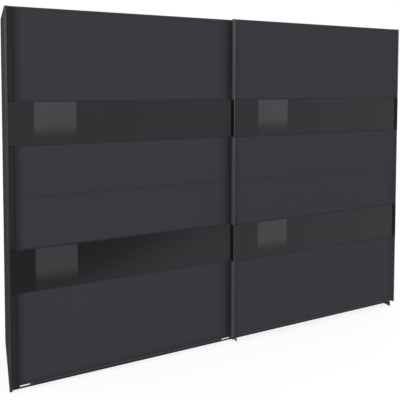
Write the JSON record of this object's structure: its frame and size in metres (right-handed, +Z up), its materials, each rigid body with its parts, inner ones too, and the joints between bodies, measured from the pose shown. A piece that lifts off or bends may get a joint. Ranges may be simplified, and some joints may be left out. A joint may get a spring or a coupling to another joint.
{
  "type": "sliding door wardrobe",
  "caption": "Wide free-standing wardrobe whose flat overlapping doors slide past each other, with dark glass bands, satin squares and full-height grip profiles.",
  "frame": {"origin": "on the floor at the middle of the wardrobe's box", "axes": "+X along the width to the right as seen from the front, +Y from the doors to the back, +Z up"},
  "size_m": [2.75, 0.622, 2.13],
  "materials": {
    "graphite_board": "matte graphite melamine on chipboard",
    "back_board": "plain grey lacquered hardboard",
    "grip_profile": "graphite satin coat, brighter on its edges",
    "graphite_profile": "graphite satin coat, matched to the panels",
    "dark_profile": "dark satin coat",
    "bare_aluminium": "satin",
    "black_glass": "polished glass, lacquered black on its back",
    "satin_square": "smoked mirror film",
    "gloss_black": "polished",
    "dark_strip": "satin",
    "zinc_steel": "zinc plated",
    "white_nylon": "moulded",
    "black_plastic": "moulded",
    "black_rubber": "moulded"
  },
  "bodies": {
    "carcase": {"left_side_panel": "graphite_board", "right_side_panel": "graphite_board", "middle_partition": "graphite_board", "top_board_left": "graphite_board", "top_board_right": "graphite_board", "bottom_board_left": "graphite_board", "bottom_board_right": "graphite_board", "plinth_board": "graphite_board", "running_rail": "bare_aluminium", "bottom_guide_rail": "dark_profile", "back_panel_1": "back_board", "back_panel_2": "back_board", "back_panel_3": "back_board", "back_panel_4": "back_board", "back_joint_strips": "dark_strip", "left_shelf": "graphite_board", "right_shelf": "graphite_board", "left_clothes_rail": "bare_aluminium", "right_clothes_rail": "bare_aluminium", "clothes_rail_brackets": "zinc_steel", "shelf_pins": "zinc_steel", "panel_glides": "black_plastic", "end_buffers": "black_rubber", "corner_brackets": "zinc_steel", "wall_brackets": "zinc_steel"},
    "left_door": {"left_door_left_stile": "grip_profile", "left_door_right_stile": "grip_profile", "left_door_top_profile": "graphite_profile", "left_door_bottom_profile": "graphite_profile", "left_door_panel_bottom": "graphite_board", "left_door_panel_lower_middle": "graphite_board", "left_door_panel_upper_middle": "graphite_board", "left_door_panel_top": "graphite_board", "left_door_glass_lower": "black_glass", "left_door_glass_upper": "black_glass", "left_door_squares": "satin_square", "left_door_joint_strips": "dark_strip", "left_door_grip_inserts": "gloss_black", "left_door_carriages": "zinc_steel", "left_door_guides": "white_nylon"},
    "right_door": {"right_door_left_stile": "grip_profile", "right_door_right_stile": "grip_profile", "right_door_top_profile": "graphite_profile", "right_door_bottom_profile": "graphite_profile", "right_door_panel_bottom": "graphite_board", "right_door_panel_lower_middle": "graphite_board", "right_door_panel_upper_middle": "graphite_board", "right_door_panel_top": "graphite_board", "right_door_glass_lower": "black_glass", "right_door_glass_upper": "black_glass", "right_door_squares": "satin_square", "right_door_joint_strips": "dark_strip", "right_door_grip_inserts": "gloss_black", "right_door_carriages": "zinc_steel", "right_door_guides": "black_plastic"},
    "left_door_left_roller": {"left_door_left_wheel": "black_plastic"},
    "left_door_right_roller": {"left_door_right_wheel": "black_plastic"},
    "right_door_left_roller": {"right_door_left_wheel": "black_plastic"},
    "right_door_right_roller": {"right_door_right_wheel": "black_plastic"}
  },
  "joints": [
    {"name": "left_door_slide", "type": "slide", "parent": "carcase", "child": "left_door", "axis": [1, 0, 0], "range_m": [0, 1.35]},
    {"name": "right_door_slide", "type": "slide", "parent": "carcase", "child": "right_door", "axis": [1, 0, 0], "range_m": [-1.35, 0]},
    {"name": "left_door_left_roller_spin", "type": "hinge", "parent": "left_door", "child": "left_door_left_roller", "pos_m": [-1.225, -0.2405, 2.025], "axis": [0, 1, 0], "continuous": true},
    {"name": "left_door_right_roller_spin", "type": "hinge", "parent": "left_door", "child": "left_door_right_roller", "pos_m": [-0.127, -0.2405, 2.025], "axis": [0, 1, 0], "continuous": true},
    {"name": "right_door_left_roller_spin", "type": "hinge", "parent": "right_door", "child": "right_door_left_roller", "pos_m": [0.127, -0.2405, 2.067], "axis": [0, 1, 0], "continuous": true},
    {"name": "right_door_right_roller_spin", "type": "hinge", "parent": "right_door", "child": "right_door_right_roller", "pos_m": [1.225, -0.2405, 2.067], "axis": [0, 1, 0], "continuous": true}
  ],
  "couplings": [
    {"joint": "left_door_left_roller_spin", "follows": "left_door_slide", "rad_per_m": 90.909},
    {"joint": "left_door_right_roller_spin", "follows": "left_door_slide", "rad_per_m": 90.909},
    {"joint": "right_door_left_roller_spin", "follows": "right_door_slide", "rad_per_m": 90.909},
    {"joint": "right_door_right_roller_spin", "follows": "right_door_slide", "rad_per_m": 90.909}
  ]
}
